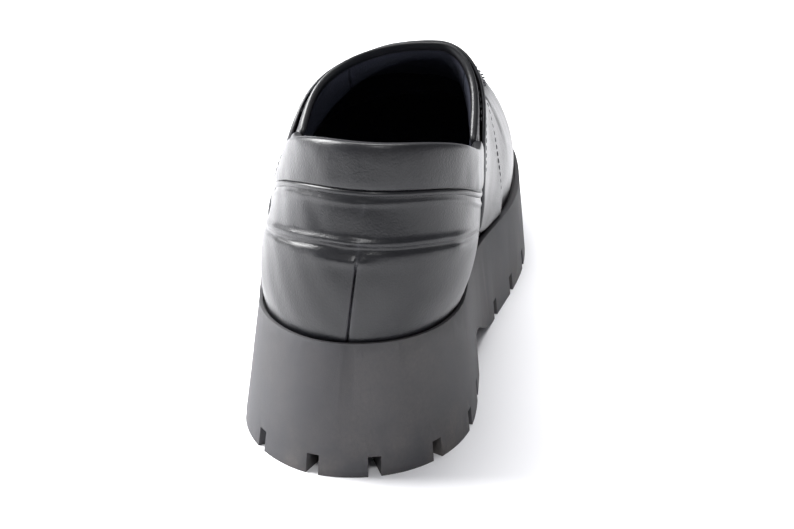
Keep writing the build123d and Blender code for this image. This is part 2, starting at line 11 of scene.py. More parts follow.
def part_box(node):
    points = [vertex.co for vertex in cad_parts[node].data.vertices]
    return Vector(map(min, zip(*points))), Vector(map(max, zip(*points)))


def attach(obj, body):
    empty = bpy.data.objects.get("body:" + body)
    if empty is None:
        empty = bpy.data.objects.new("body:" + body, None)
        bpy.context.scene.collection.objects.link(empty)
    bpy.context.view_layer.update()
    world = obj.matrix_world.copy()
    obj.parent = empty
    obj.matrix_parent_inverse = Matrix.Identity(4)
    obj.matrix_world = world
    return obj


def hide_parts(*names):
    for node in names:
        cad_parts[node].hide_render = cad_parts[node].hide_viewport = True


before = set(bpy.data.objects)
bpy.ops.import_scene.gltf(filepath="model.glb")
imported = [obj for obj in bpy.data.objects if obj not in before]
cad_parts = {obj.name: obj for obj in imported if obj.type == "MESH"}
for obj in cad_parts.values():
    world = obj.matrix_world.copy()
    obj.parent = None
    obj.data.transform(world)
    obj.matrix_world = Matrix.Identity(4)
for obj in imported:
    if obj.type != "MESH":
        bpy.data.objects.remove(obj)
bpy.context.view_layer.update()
print("stage: frame loaded")

mm = 0.001

# the last, as the CAD draws it: distances run from the back of the heel
lastShape = {
    "length": 256.0,
    "heelHalf": 28.5,
    "heelWidest": 42.0,
    "ball": {1: (38.5, 184.0, 5.0), -1: (42.5, 168.0, 1.0)},
    "toeTip": 4.0,
    "toeRoundness": 2.3,
    "heelShare": 0.19,
    "toeShare": 0.64,
    "heelReach": 34.0,
    "toeReach": 40.0,
    "heelFan": 80.0,
    "toeFan": 84.0,
    "seat": [(-20, 45.5), (0, 44), (45, 41.5), (100, 35), (150, 30.5), (190, 30), (230, 32), (285, 37)],
    "crest": [
        (20, 152), (80, 150), (100, 136), (121, 107), (150, 94), (184, 78), (204, 70.5), (216, 67.5), (228, 67)
    ],
    "topline": [(-20, 115.5), (0, 114.5), (20, 108.5), (45, 97.5), (70, 88.5), (92, 83)],
    "crestShift": [(20, 0), (60, 1), (125, 12), (184, 6), (216, 4)],
    "squareness": [(20, 4.0), (90, 3.2), (130, 2.05), (184, 2.25), (216, 2.5)],
    "bulge": [(0, 4.0), (50, 4.2), (110, 1.8), (184, 1.2), (256, 1.6)],
    "bulgeHeight": [(0, 62), (90, 56), (150, 42), (216, 28)],
    "lean": [(0, 0.11), (90, 0.11), (150, 0.04), (200, 0.0)],
}
upper = {
    "seamTurn": 0.60,           # how far up a rib the moccasin seam lies
    "leatherLift": 2.4,         # inner face of the leather, off the last
    "leather": 1.6,
    "strapLift": 4.3,
    "collarHeight": 15.2,
    "throatTop": 121.0,
    "throatLow": 93.0,
    "throatBow": 1.5,
    "quarterFoot": 112.0,
    "strapSetback": 7.0,
    "strapWidth": 30.0,
    "strapFoot": 40.0,
    "tongueOverlap": 10.0,
    "rim": 2.2,
}
heelMargin = 12.2               # the tread's edge, outside the last at the back of the heel

soleLow = np.array(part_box("outsole")[0]) / mm
middleX = (lastShape["ball"][1][0] - lastShape["ball"][-1][0]) / 2
middleY = -(soleLow[1] + heelMargin)


# the last's surface
def through(stations, y):  # a smooth curve through the stations, level beyond its ends
    pairs = np.array(lastShape[stations] if isinstance(stations, str) else stations, float)
    ys, vs = pairs[:, 0], pairs[:, 1]
    slopes = np.empty(len(ys))
    slopes[1:-1] = (vs[2:] - vs[:-2]) / (ys[2:] - ys[:-2])
    slopes[0] = (vs[1] - vs[0]) / (ys[1] - ys[0])
    slopes[-1] = (vs[-1] - vs[-2]) / (ys[-1] - ys[-2])
    y = np.clip(np.asarray(y, float), ys[0], ys[-1])
    i = np.clip(np.searchsorted(ys, y, side="right") - 1, 0, len(ys) - 2)
    run = ys[i + 1] - ys[i]
    u = (y - ys[i]) / run
    return (
        vs[i] * (2 * u**3 - 3 * u**2 + 1)
        + slopes[i] * run * (u**3 - 2 * u**2 + u)
        + vs[i + 1] * (3 * u**2 - 2 * u**3)
        + slopes[i + 1] * run * (u**3 - u**2)
    )


def outline(side, q):  # side is 1 for the big-toe side, q runs from the back of the heel 0 to the toe 1
    side, q = np.broadcast_arrays(np.asarray(side, float), np.asarray(q, float))
    big, little = lastShape["ball"][1], lastShape["ball"][-1]
    half, ballY, dip = (np.where(side > 0, big[k], little[k]) for k in range(3))
    hs, ts = lastShape["heelShare"], lastShape["toeShare"]
    heelTurn = np.pi / 2 * np.clip(q / hs, 0, 1)
    u = np.clip((q - hs) / (ts - hs), 0, 1)
    ease = u * u * (3 - 2 * u)
    toeTurn = np.pi / 2 * np.clip((q - ts) / (1 - ts), 0, 1)
    power = 2 / lastShape["toeRoundness"]
    across, along = np.clip(np.cos(toeTurn), 0, 1) ** power, np.sin(toeTurn) ** power
    x = np.where(
        q <= hs,
        side * lastShape["heelHalf"] * np.sin(heelTurn),
        side * (lastShape["heelHalf"] + (half - lastShape["heelHalf"]) * ease - dip * np.sin(np.pi * u) ** 2),
    )
    y = np.where(
        q <= hs,
        lastShape["heelWidest"] * (1 - np.cos(heelTurn)),
        lastShape["heelWidest"] + (ballY - lastShape["heelWidest"]) * u,
    )
    toeX = lastShape["toeTip"] + (side * half - lastShape["toeTip"]) * across
    toeY = ballY + (lastShape["length"] - ballY) * along
    return np.where(q > ts, toeX, x), np.where(q > ts, toeY, y)


denseQ = np.linspace(0, 1, 6001)
denseY = {side: outline(side, denseQ)[1] for side in (1, -1)}


def qAt(side, y):
    side, y = np.broadcast_arrays(np.asarray(side, float), np.asarray(y, float))
    return np.where(side > 0, np.interp(y, denseY[1], denseQ), np.interp(y, denseY[-1], denseQ))


def crestY(y):
    heel = y + lastShape["heelReach"] * (1 - np.clip(y / lastShape["heelFan"], 0, 1)) ** 2
    toeFanY = lastShape["length"] - lastShape["toeFan"]
    return heel - lastShape["toeReach"] * (np.clip(y - toeFanY, 0, None) / lastShape["toeFan"]) ** 2


def ribs(side, q):
    x, y = outline(side, q)
    endY = crestY(y)
    endX = through("crestShift", endY)
    reach = np.hypot(endX - x, endY - y)
    seat = through("seat", y)
    return {
        "x": x,
        "y": y,
        "ex": (endX - x) / reach,
        "ey": (endY - y) / reach,
        "reach": reach,
        "seat": seat,
        "rise": through("crest", endY) - seat,
        "power": 2 / through("squareness", endY),
        "bulge": through("bulge", y),
        "bulgeHeight": through("bulgeHeight", y),
        "lean": through("lean", y),
    }


def bare(rib, t):
    turn = np.pi / 2 * np.clip(t, 0, 1)
    height = rib["rise"] * np.sin(turn) ** rib["power"]
    inset = rib["reach"] * (1 - np.clip(np.cos(turn), 0, 1) ** rib["power"])
    u = np.clip(height / rib["bulgeHeight"], 0, 1)
    return inset - rib["bulge"] * 6.75 * u * (1 - u) ** 2, rib["seat"] + height


def onLast(side, q, t, lift):  # millimetres from the back of the heel
    rib = ribs(side, q)
    step = 1e-3
    a0, z0 = bare(rib, np.asarray(t) - step)
    a1, z1 = bare(rib, np.asarray(t) + step)
    run = np.hypot(a1 - a0, z1 - z0)
    a, z = bare(rib, t)
    a = a - lift * (z1 - z0) / run
    z = z + lift * (a1 - a0) / run
    x = rib["x"] + a * rib["ex"] + rib["lean"] * (z - rib["seat"])
    return np.stack([x, rib["y"] + a * rib["ey"], z], axis=-1)


def turnAt(side, q, height):
    rib = ribs(side, q)
    share = np.clip((height - rib["seat"]) / rib["rise"], 0, 1) ** (1 / rib["power"])
    return np.arcsin(share) / (np.pi / 2)


def toFrame(points):
    return (points - np.array([middleX, middleY, 0.0])) * mm


# the edges of the panels, in side view
cornerZ = float(through("topline", upper["throatLow"]))
footSeat = float(through("seat", upper["quarterFoot"]))
throatTopZ = float(through("crest", upper["throatTop"])) + 5.7
throatY = [(upper["throatLow"] + (upper["throatTop"] - upper["throatLow"]) * u) for u in (0, 0.33, 0.67, 1)]
throatZ = [
    cornerZ + (throatTopZ - cornerZ) * u - upper["throatBow"] * 4 * u * (1 - u) for u in (0, 0.33, 0.67, 1)
]
strapRearTop = upper["throatTop"] + upper["strapSetback"]
strapFrontTop = strapRearTop + upper["strapWidth"]
tongueEnd = strapFrontTop - upper["tongueOverlap"]


def quarterFront(z):  # the slanted front edge of the quarters
    u = (z - footSeat) / (cornerZ - footSeat)
    return upper["quarterFoot"] + (upper["throatLow"] - upper["quarterFoot"]) * u


def openingRear(z):  # the quarter's edge below the corner, the throat's edge above it
    return np.where(z < cornerZ, quarterFront(z), np.interp(z, throatZ, throatY))


strapRearLine = [
    (footSeat - 6, upper["quarterFoot"] + 2),
    ((footSeat + cornerZ) / 2, upper["throatLow"] + upper["strapSetback"] + 4),
    (cornerZ - 5, upper["throatLow"] + upper["strapSetback"] + 1),
    ((cornerZ + 113) / 2, (upper["throatLow"] + upper["throatTop"]) / 2 + upper["strapSetback"] - 1),
    (116, strapRearTop + 2),
]
strapFrontLine = [
    (24, upper["quarterFoot"] + upper["strapFoot"]),
    ((footSeat + cornerZ) / 2, upper["quarterFoot"] + upper["strapFoot"] - 3),
    (100, strapFrontTop),
    (116, strapFrontTop + 2),
]


follow = {"rounds": 40, "step": 0.4}


def followEdge(side, t, lift, edge, start):  # the y at which a rib at turn t crosses an edge given as y of z
    y = np.full(np.broadcast(side, t).shape, float(start))
    for _ in range(follow["rounds"]):
        z = onLast(side, qAt(side, y), t, lift)[..., 2]
        y = y + follow["step"] * (edge(z) - y)
    return y


def linked(name, data):
    piece = bpy.data.objects.new(name, data)
    bpy.context.collection.objects.link(piece)
    return piece


def builtFrom(bm, name):
    mesh = bpy.data.meshes.new(name)
    bm.to_mesh(mesh)
    bm.free()
    return linked(name, mesh)


def closedTube(name, points):  # points in metres, ring by ring, capped at both ends
    stations, loop = points.shape[:2]
    bm = bmesh.new()
    rings = [[bm.verts.new(points[i, j]) for j in range(loop)] for i in range(stations)]
    for first, second in zip(rings, rings[1:]):
        for j in range(loop):
            k = (j + 1) % loop
            bm.faces.new((first[j], second[j], second[k], first[k]))
    bm.faces.new(rings[0])
    bm.faces.new(rings[-1][::-1])
    bmesh.ops.recalc_face_normals(bm, faces=bm.faces)
    piece = builtFrom(bm, name)
    piece.data.shade_smooth()
    return piece


def edgeSpread(count, rollA, rollB):  # 0..1 with close rows inside each rolled edge
    near = np.array([0, 0.1, 0.3, 0.6, 1.0])
    start = near * rollA if rollA else np.array([0.0])
    end = 1 - near[::-1] * rollB if rollB else np.array([1.0])
    return np.concatenate([start, np.linspace(start[-1], end[0], count)[1:-1], end])


def roundness(values, rollA, rollB):
    out = np.ones_like(values)
    for roll, distance in ((rollA, values), (rollB, 1 - values)):
        if roll:
            d = np.clip(distance / roll, 0, 1)
            out = np.minimum(out, np.sqrt(1 - (1 - d) ** 2))
    return out


weld = {"merge": 2e-5, "sliver": 1e-6}   # metres


def meshFromGrids(name, grids, edges):  # grids of points in metres, welded where they meet
    bm = bmesh.new()
    edgeLayer = bm.verts.layers.float.new("edge")
    for g, grid in enumerate(grids):
        rows, columns = grid.shape[:2]
        verts = [[bm.verts.new(grid[i, j]) for j in range(columns)] for i in range(rows)]
        for i in range(rows):
            for j in range(columns):
                verts[i][j][edgeLayer] = float(edges[g][i, j])
        for i in range(rows - 1):
            for j in range(columns - 1):
                bm.faces.new((verts[i][j], verts[i + 1][j], verts[i + 1][j + 1], verts[i][j + 1]))
    bmesh.ops.remove_doubles(bm, verts=bm.verts, dist=weld["merge"])
    bmesh.ops.dissolve_degenerate(bm, dist=weld["sliver"], edges=bm.edges)
    bmesh.ops.recalc_face_normals(bm, faces=bm.faces)
    piece = builtFrom(bm, name)
    piece.data.shade_smooth()
    return piece


# a closed sheet of leather: surface gives points for u, v and lift; rolls says which of its four edges are rounded
def panel(name, surface, lift, thickness, counts, rolls=(1, 1, 1, 1), relief=None, rollWidth=1.3, level=None):
    probe = np.linspace(0, 1, 40)
    middle = np.full(40, 0.5)
    lengthU = np.linalg.norm(np.diff(surface(probe, middle, lift + 0 * probe), axis=0), axis=1).sum()
    lengthV = np.linalg.norm(np.diff(surface(middle, probe, lift + 0 * probe), axis=0), axis=1).sum()
    ru = [rollWidth / lengthU * flag for flag in rolls[:2]]
    rv = [rollWidth / lengthV * flag for flag in rolls[2:]]
    gridU, gridV = np.meshgrid(edgeSpread(counts[0], *ru), edgeSpread(counts[1], *rv), indexing="ij")
    f = np.minimum(roundness(gridU, *ru), roundness(gridV, *rv))
    base = surface(gridU, gridV, np.full(gridU.shape, float(lift)))
    if level:  # where two panels run into one another, their shared edge isn't rounded
        f = np.maximum(f, level(gridU, gridV, base))
    extra = relief(gridU, gridV, base) if relief else 0.0
    outer = surface(gridU, gridV, lift + (thickness + extra) * f)
    inner = surface(gridU, gridV, np.full(gridU.shape, float(lift)))
    wide = np.minimum(
        roundness(gridU, *[r * 3 for r in ru]),
        roundness(gridV, *[r * 3 for r in rv]),
    )
    return meshFromGrids(name, [toFrame(outer), toFrame(inner)], [1 - wide, 0 * gridU])


def ridge(d, width):  # a smooth bump, 1 at the middle
    return np.exp(-((d / width) ** 2))


def waver(p, seed=0.0):  # slow unevenness of lasted leather, from a few waves along the shoe
    x, y, z = p[..., 0], p[..., 1], p[..., 2]
    return (
        np.sin(x * 0.21 + z * 0.17 + seed) * np.sin(y * 0.13 - z * 0.11 + 2 * seed)
        + 0.6 * np.sin(x * 0.43 - y * 0.31 + z * 0.37 + 3 * seed)
    ) / 1.6


# the sides round the toe
vampLook = {
    "clear": 0.3,
    "height": 45,               # from the seat up to the moccasin seam
    "puckerPitch": 6.2,
    "pucker": 0.32,
    "puckerReach": 7.0,
    "puckerStart": (4, 12),     # how far in front of the strap the gathers begin, and over what length
    "unevenness": 0.16,
    "flexDepth": -0.35,
    "flexPlace": (172, 60, 0.25),   # where the crease at the ball lies: along, height, slant
    "flexWidth": 2.2,
    "flexStart": (52, 12),
}
skive = {"reach": 5.0, "height": 8, "depth": 1.2, "inner": 1.0, "span": 1.4}


def skived(lift, pastEdge, height):  # layers thin out towards the throat's edge
    high = np.clip((height - cornerZ + skive["height"]) / skive["height"], 0, 1)
    near = np.exp(-np.clip(pastEdge, 0, None) / skive["reach"]) * high
    return lift - skive["depth"] * near * np.clip((lift - skive["inner"]) / skive["span"], 0, 1)


def inFront(p):  # 0 behind the strap's front edge, rising to 1 where the gathers are full
    begin, span = vampLook["puckerStart"]
    return np.clip((p[..., 1] - strapFrontTop - begin) / span, 0, 1)


def vampSurface(gridU, gridV, lift):
    side = np.where(gridU <= 0.5, 1, -1)
    t = gridV * upper["seamTurn"]
    startY = followEdge(side, t, upper["leatherLift"], openingRear, 100) + vampLook["clear"]
    startQ = qAt(side, startY)
    share = np.where(gridU <= 0.5, 2 * gridU, 2 * (1 - gridU))
    q = startQ + (1 - startQ) * share
    bare = onLast(side, q, t, lift)
    return onLast(side, q, t, skived(lift, bare[..., 1] - startY, bare[..., 2]))


def pathLength(points):
    steps = np.linalg.norm(np.diff(points, axis=0), axis=-1)
    return np.concatenate([np.zeros((1,) + steps.shape[1:]), np.cumsum(steps, axis=0)])


def vampRelief(gridU, gridV, p):
    s = pathLength(p)
    fromSeam = (1 - gridV) * vampLook["height"]
    gathers = np.sin(2 * np.pi * s / vampLook["puckerPitch"]) * np.exp(-fromSeam / vampLook["puckerReach"])
    alongY, height, slant = vampLook["flexPlace"]
    low, span = vampLook["flexStart"]
    crease = ridge(p[..., 1] - alongY - (p[..., 2] - height) * slant, vampLook["flexWidth"])
    flex = vampLook["flexDepth"] * crease * np.clip((p[..., 2] - low) / span, 0, 1)
    return vampLook["pucker"] * gathers * inFront(p) + flex + vampLook["unevenness"] * waver(p)


pieces = {}
pieces["vamp"] = panel(
    "vampLeather",
    vampSurface,
    upper["leatherLift"],
    upper["leather"],
    (230, 44),
    relief=vampRelief,
)
print("stage: vamp")

# the apron, raised a little inside its seam
apronLook = {
    "clear": 0.3,
    "half": 32,                 # from the seam to the middle
    "crown": 0.9,
    "pucker": 0.3,
    "puckerReach": 6.0,
    "creaseWidth": 1.8,
    "creaseSway": (1.5, 0.12),
    "unevenness": 0.12,
    "creases": [(166, 0.45), (176, 0.3), (187, 0.2)],   # where each lies along the shoe, and how deep
}


def acrossTurn(gridW, low):
    return np.where(gridW < 0.5, -1, 1), 1 - np.abs(2 * gridW - 1) * (1 - low)


def apronSurface(gridU, gridW, lift):
    side, t = acrossTurn(gridW, upper["seamTurn"])
    startQ = qAt(1, tongueEnd + apronLook["clear"])
    y = outline(1, startQ + (1.0 - startQ) * gridU)[1]
    return onLast(side, qAt(side, y), t, lift)


def apronRelief(gridU, gridW, p):
    s = pathLength(p)
    fromSeam = (1 - np.abs(2 * gridW - 1)) * apronLook["half"]
    gathers = np.sin(2 * np.pi * s / vampLook["puckerPitch"]) * np.exp(-fromSeam / apronLook["puckerReach"])
    crown = apronLook["crown"] * (1 - np.abs(2 * gridW - 1) ** 3)
    sway = apronLook["creaseSway"][0] * np.sin(p[..., 0] * apronLook["creaseSway"][1])
    wrinkles = sum(-d * ridge(p[..., 1] - y - sway, apronLook["creaseWidth"]) for y, d in apronLook["creases"])
    return apronLook["pucker"] * gathers * inFront(p) + crown + wrinkles + apronLook["unevenness"] * waver(p, 1.0)


pieces["apron"] = panel(
    "apronLeather",
    apronSurface,
    upper["leatherLift"],
    upper["leather"],
    (130, 61),
    rolls=(1, 0, 1, 1),
    relief=apronRelief,
)


# the tongue, under the strap
def tongueSurface(gridV, gridW, lift):
    side, t = acrossTurn(gridW, upper["seamTurn"])
    startY = followEdge(side, t, upper["leatherLift"], openingRear, 108)
    y = startY + (tongueEnd - startY) * gridV
    return onLast(side, qAt(side, y), t, skived(lift, y - startY, cornerZ + 8))


pieces["tongue"] = panel("tongueLeather", tongueSurface, upper["leatherLift"], 1.5, (26, 61))
print("stage: apron and tongue")

# the strap, with its slot
strapLook = {
    "slotLength": 27.0,
    "slotWidth": 3.6,
    "eye": 2.6,
    "cutterHeights": (94.0, 125.0),
    "unevenness": 0.12,
    "thickness": 1.6,
    "stitchInset": 2.4,
    "slotStitchInset": 4.6,
    "slotStitchLift": 1.75,
    "span": 34.0,               # from rear edge to front edge, for placing stitch rows
}


def strapLine(line):
    return lambda z: through(line, z)


def strapSurface(gridV, gridW, lift):
    side = np.where(gridW < 0.5, -1, 1)
    z = footSeat + upper["rim"]
    low = turnAt(side, qAt(side, upper["quarterFoot"] + 20), z - 1.0)
    t = 1 - np.abs(2 * gridW - 1) * (1 - low)
    rearY = followEdge(side, t, upper["strapLift"], strapLine(strapRearLine), 110)
    frontY = followEdge(side, t, upper["strapLift"], strapLine(strapFrontLine), 155)
    return onLast(side, qAt(side, rearY + (frontY - rearY) * gridV), t, lift)


def strapRelief(gridV, gridW, p):
    return strapLook["unevenness"] * waver(p, 2.0)


pieces["strap"] = panel(
    "strapLeather",
    strapSurface,
    upper["strapLift"],
    strapLook["thickness"],
    (70, 181),
    relief=strapRelief,
)
slotY = (strapRearTop + strapFrontTop) / 2
slotX = float(onLast(1, qAt(1, slotY), 1.0, 0.0)[0])


def slotCutter():
    half, eye = strapLook["slotLength"] / 2, strapLook["eye"]
    wide = strapLook["slotWidth"] / 2
    meet = math.asin(wide / eye)
    rim = []
    for sign, start in ((1, -math.pi + meet), (-1, meet)):
        for k in range(25):
            a = start + (2 * math.pi - 2 * meet) * k / 24
            rim.append((slotX + sign * half + eye * math.cos(a), slotY + eye * math.sin(a)))
    bm = bmesh.new()
    floor, roof = (
        [bm.verts.new(toFrame(np.array([x, y, z]))) for x, y in rim] for z in strapLook["cutterHeights"]
    )
    for i in range(len(rim)):
        j = (i + 1) % len(rim)
        bm.faces.new((floor[i], floor[j], roof[j], roof[i]))
    bm.faces.new(floor[::-1])
    bm.faces.new(roof)
    bmesh.ops.recalc_face_normals(bm, faces=bm.faces)
    return builtFrom(bm, "slotCutter")


def applied(piece):  # the piece with its modifiers made real
    graph = bpy.context.evaluated_depsgraph_get()
    mesh = bpy.data.meshes.new_from_object(piece.evaluated_get(graph))
    piece.modifiers.clear()
    piece.data = mesh
    return piece


cutter = slotCutter()
cut = pieces["strap"].modifiers.new("slot", "BOOLEAN")
cut.object = cutter
cut.operation = "DIFFERENCE"
cut.solver = "EXACT"
applied(pieces["strap"])
bpy.data.objects.remove(cutter)
pieces["strap"].data.shade_smooth()
print("stage: strap")

# the quarters, with the fold above the heel counter
quarterLook = {
    "foldHeight": 79.5,
    "foldFall": 0.24,           # how much lower the fold lies with each millimetre forwards
    "foldDepth": 0.75,
    "lip": 0.7,
    "foldFade": 34.0,
    "wrinkle": 0.3,
    "seamTop": 72.0,
    "span": 110.0,              # from the back seam to the front edge, for placing stitch rows
}


settleRounds = 12               # repeats until a slanted edge and its height agree


def collarFoot(y):
    return through("topline", y) - upper["collarHeight"]


def quarterSurface(side, highDrop=0.3):
    def surface(gridU, gridV, lift):
        q = qAt(side, 2 + 96 * gridU)
        for _ in range(settleRounds):
            y = outline(side, q)[1]
            low = through("seat", y)
            z = low + (collarFoot(y) - highDrop - low) * gridV
            frontQ = qAt(side, quarterFront(z))
            q = frontQ * gridU
        return onLast(side, q, turnAt(side, q, z), lift)

    return surface


def heelRelief(gridU, gridV, p):
    x, y, z = p[..., 0], p[..., 1], p[..., 2]
    h = z - quarterLook["foldHeight"] + quarterLook["foldFall"] * y + 0.3 * np.sin(x * 0.16)
    fade = 1 - np.clip((y - 14) / quarterLook["foldFade"], 0, 1) ** 2
    fold = quarterLook["lip"] * ridge(h - 1.4, 1.3) - quarterLook["foldDepth"] * ridge(h + 0.7, 1.1)
    fold = fold + 0.35 * ridge(h + 4.5, 3.0)
    curl = 0.7 * ridge(h + 1.5, 2.6) * ridge(x - 33, 2.0)          # where the fold dies out on the big-toe side
    centre = np.exp(-((x / 6.5) ** 2))
    dent = centre * (0.7 * ridge(h - 1.5, 1.2) - 0.8 * ridge(h + 2.6, 1.3) + 0.5 * ridge(h + 5.6, 1.2))
    swell = 0.5 * np.exp(-((x / 5.0) ** 2)) * ridge(h - 11, 6.0)
    pipe = 0.35 * ridge(z - collarFoot(y) + 4.8, 0.9)              # the fold of leather turned in below the collar
    return (fold + dent + curl) * fade + swell + pipe + quarterLook["wrinkle"] * 0.5 * waver(p, 0.7)


def closedSeam(gridU, gridV, p):  # the back seam shows only below the fold, and never opens right through
    above = np.clip((p[..., 2] - quarterLook["seamTop"]) / 6, 0, 1)
    return np.where((gridU < 0.2) & (gridV > 0.02) & (gridV < 0.98), 0.35 + 0.65 * above, 0.0)


for side, name in ((1, "quarter_medial"), (-1, "quarter_lateral")):
    pieces[name] = panel(
        "quarterLeather" + ("Medial" if side > 0 else "Lateral"),
        quarterSurface(side),
        upper["leatherLift"],
        upper["leather"],
        (110, 84),
        relief=heelRelief,
        rollWidth=1.1,
        level=closedSeam,
    )
print("stage: quarters")

# the padded collar, rolled over the topline
collarLook = {
    "outer": 5.3,
    "inner": 0.4,
    "squash": 0.42,             # how boxy the padded section is
    "overlap": 0.6,
    "stations": 240,
    "loop": 44,
    "endRound": 0.015,          # the share of each end that is rounded off
    "softness": 0.035,
    "ripple": 0.03,
}


def collarPiece():
    p = np.linspace(-1, 1, collarLook["stations"])
    angle = np.linspace(0, 2 * np.pi, collarLook["loop"], endpoint=False)
    gridP, gridA = np.meshgrid(p, angle, indexing="ij")
    v = 0.5 - 0.5 * np.sign(np.cos(gridA)) * np.abs(np.cos(gridA)) ** 0.8
    middle = (collarLook["outer"] + collarLook["inner"]) / 2
    half = (collarLook["outer"] - collarLook["inner"]) / 2
    puff = np.sign(np.sin(gridA)) * np.abs(np.sin(gridA)) ** collarLook["squash"]
    side = np.where(gridP < 0, -1, 1)
    q = np.abs(gridP) * 0.4
    for _ in range(settleRounds):
        y = outline(side, q)[1]
        z = collarFoot(y) - collarLook["overlap"] + (upper["collarHeight"] + collarLook["overlap"]) * v
        endQ = qAt(side, quarterFront(z) + 0.4)
        q = endQ * np.abs(gridP)
    pastEnd = ((np.abs(gridP) - (1 - collarLook["endRound"])) / collarLook["endRound"]).clip(0, 1)
    ends = np.sqrt(np.clip(1 - pastEnd**2, 0.02, 1))
    t = turnAt(side, q, z)
    base = onLast(side, q, t, np.full(gridP.shape, middle))
    ripple = np.sin(gridP * 61 + 2 * np.sin(gridP * 13)) * (np.cos(gridA / 2) ** 2)
    soft = 1 + collarLook["softness"] * waver(base, 1.7) + collarLook["ripple"] * ripple
    lift = middle + half * puff * soft * ends
    return closedTube("collarPad", toFrame(onLast(side, q, t, lift)))


pieces["collar"] = collarPiece()


def tubeAlong(name, rail, up, width, height, loop=12):  # an oval cord along a rail, closed at both ends
    ahead = np.gradient(rail, axis=0)
    ahead /= np.linalg.norm(ahead, axis=1, keepdims=True)
    across = np.cross(ahead, up)
    across /= np.linalg.norm(across, axis=1, keepdims=True)
    s = pathLength(rail)
    fade = np.clip(np.minimum(s, s[-1] - s) / 3.0, 0.02, 1) ** 0.5
    wide = np.broadcast_to(width, s.shape) * fade
    high = np.broadcast_to(height, s.shape) * fade
    grid = np.empty((len(rail), loop, 3))
    for j in range(loop):
        a = 2 * math.pi * j / loop
        grid[:, j] = rail + across * wide[:, None] * math.cos(a) + up * high[:, None] * math.sin(a)
    return closedTube(name, toFrame(grid))


def collarRail(drop, lift, count=200, reach=0.985):
    p = np.linspace(-reach, reach, count)
    side = np.where(p < 0, -1, 1)
    q = np.abs(p) * 0.4
    for _ in range(settleRounds):
        y = outline(side, q)[1]
        z = collarFoot(y) - drop
        q = qAt(side, quarterFront(z)) * np.abs(p)
    return onLast(side, q, turnAt(side, q, z), lift)


weltLook = {"drop": 1.5, "width": 0.95, "height": 0.7}
weltRail = collarRail(weltLook["drop"], upper["leatherLift"] + upper["leather"])
weltUp = collarRail(weltLook["drop"], upper["leatherLift"] + upper["leather"] + 1) - weltRail
pieces["welt"] = tubeAlong("collarWelt", weltRail, weltUp, weltLook["width"], weltLook["height"])
print("stage: collar")


# the rolled edge of the throat
bindingLook = {"lift": 1.35, "half": 1.5, "reach": 1.15}


def throatEdge(w):
    side = np.where(w < 0.5, -1, 1)
    cornerTurn = turnAt(side, qAt(side, upper["throatLow"]), cornerZ - 3)
    t = 1 - np.abs(2 * w - 1) * (1 - cornerTurn)
    return side, t, followEdge(side, t, upper["leatherLift"], openingRear, 105)


def throatBinding():
    stations, loop = 140, 18
    w = np.linspace(0, 1, stations)
    side, t, edgeY = throatEdge(w)
    angle = np.linspace(0, 2 * np.pi, loop, endpoint=False)
    grid = np.empty((stations, loop, 3))
    ends = np.sqrt(np.clip(1 - np.abs(2 * w - 1) ** 40, 0.05, 1))
    for j, a in enumerate(angle):
        lift = bindingLook["lift"] + bindingLook["half"] * math.cos(a) * ends
        grid[:, j] = onLast(side, qAt(side, edgeY + 0.6 + bindingLook["reach"] * math.sin(a) * ends), t, lift)
    return closedTube("throatBinding", toFrame(grid))


pieces["binding"] = throatBinding()

# the linings
liningLook = {"lift": 1.0, "thickness": -1.0, "wrinkle": 0.12}


def liningRelief(gridU, gridV, p):
    return -liningLook["wrinkle"] * waver(p * 1.6, 4.0)


for side, name in ((1, "quarter_lining_medial"), (-1, "quarter_lining_lateral")):
    pieces[name] = panel(
        "quarterLining" + ("Medial" if side > 0 else "Lateral"),
        quarterSurface(side, highDrop=-9.0),
        liningLook["lift"],
        liningLook["thickness"],
        (70, 40),
        rolls=(0, 1, 1, 1),
        relief=liningRelief,
        rollWidth=0.7,
    )
pieces["vamp_lining"] = panel(
    "vampLining",
    vampSurface,
    liningLook["lift"],
    liningLook["thickness"],
    (120, 30),
    relief=liningRelief,
    rollWidth=0.7,
)


def plugLining(gridU, gridW, lift):  # the lining of tongue and apron, in one
    side, t = acrossTurn(gridW, upper["seamTurn"])
    startY = followEdge(side, t, upper["leatherLift"], openingRear, 108)
    startQ = qAt(1, startY)
    y = outline(1, startQ + (1 - startQ) * gridU)[1]
    return onLast(side, qAt(side, y), t, lift)


pieces["apron_lining"] = panel(
    "apronLining",
    plugLining,
    liningLook["lift"],
    liningLook["thickness"],
    (110, 49),
    rolls=(1, 0, 1, 1),
    relief=liningRelief,
    rollWidth=0.7,
)

# the sock liner
sockLook = {"rise": 9.4, "curl": 1.8, "margin": 1.6, "thickness": 1.0}


def sockSurface(gridU, gridW, lift):
    y = outline(1, 0.004 + 0.992 * gridU)[1]
    xm = outline(1, qAt(1, y))[0] + sockLook["margin"]
    xl = outline(-1, qAt(-1, y))[0] - sockLook["margin"]
    x = xl + (xm - xl) * gridW
    rim = np.clip(np.abs(2 * gridW - 1), 0, 1)
    rim = np.maximum(rim, np.abs(2 * gridU - 1))
    z = through("seat", y) + sockLook["rise"] + sockLook["curl"] * rim**8 + lift
    return np.stack([x, y, z], axis=-1)


pieces["sock"] = panel(
    "sockLiner",
    sockSurface,
    -sockLook["thickness"],
    sockLook["thickness"],
    (80, 30),
    rollWidth=0.8,
)
print("stage: linings and sock")

# the rubber sole: the CAD shape, welded, with its moulded edges softened
soleLook = {"merge": 4e-6, "edge": 0.6, "edgeAngle": 32.0, "flat": 0.6}


